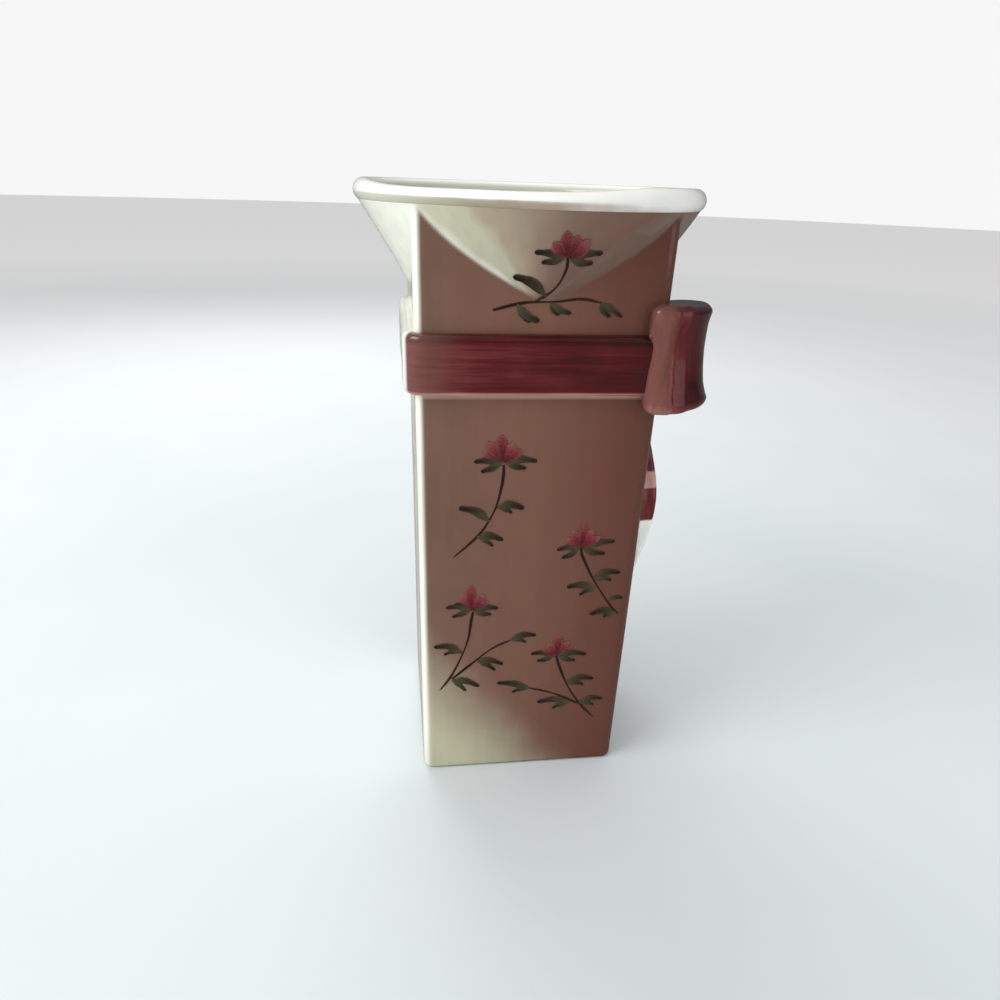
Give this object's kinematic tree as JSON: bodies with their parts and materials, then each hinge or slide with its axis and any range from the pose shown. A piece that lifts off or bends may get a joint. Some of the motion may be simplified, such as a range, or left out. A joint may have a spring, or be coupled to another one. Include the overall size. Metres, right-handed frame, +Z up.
{
  "type": "square vase with round flared mouth",
  "caption": "Tall square tapered ceramic vase with a round flared mouth, a modelled ribbon and side bow, and a hook hole in its back",
  "frame": {"origin": "centre of the square foot, on the plane the vase stands on", "axes": "+Z up through the mouth, -Y out of the painted front, +X out of the side with the bow, -X into the wall it hangs on"},
  "size_m": [0.1441, 0.1436, 0.2595],
  "materials": {
    "vessel_glaze": "glossy cream glaze, blushed with dusty pink",
    "rim_glaze": "glossy white glaze",
    "ribbon_glaze": "glossy brushed rose-red underglaze",
    "petal_enamel": "hand-brushed pink enamel under a clear glaze",
    "leaf_enamel": "hand-brushed olive enamel under a clear glaze"
  },
  "bodies": {
    "root": {"base_slab": "vessel_glaze", "body_wall": "vessel_glaze", "flared_collar": "vessel_glaze", "rolled_lip": "rim_glaze", "ribbon_band": "ribbon_glaze", "bow_knot": "ribbon_glaze", "bow_loop_near": "ribbon_glaze", "bow_loop_far": "ribbon_glaze", "ribbon_tail_near": "ribbon_glaze", "ribbon_tail_far": "ribbon_glaze"}
  },
  "joints": []
}
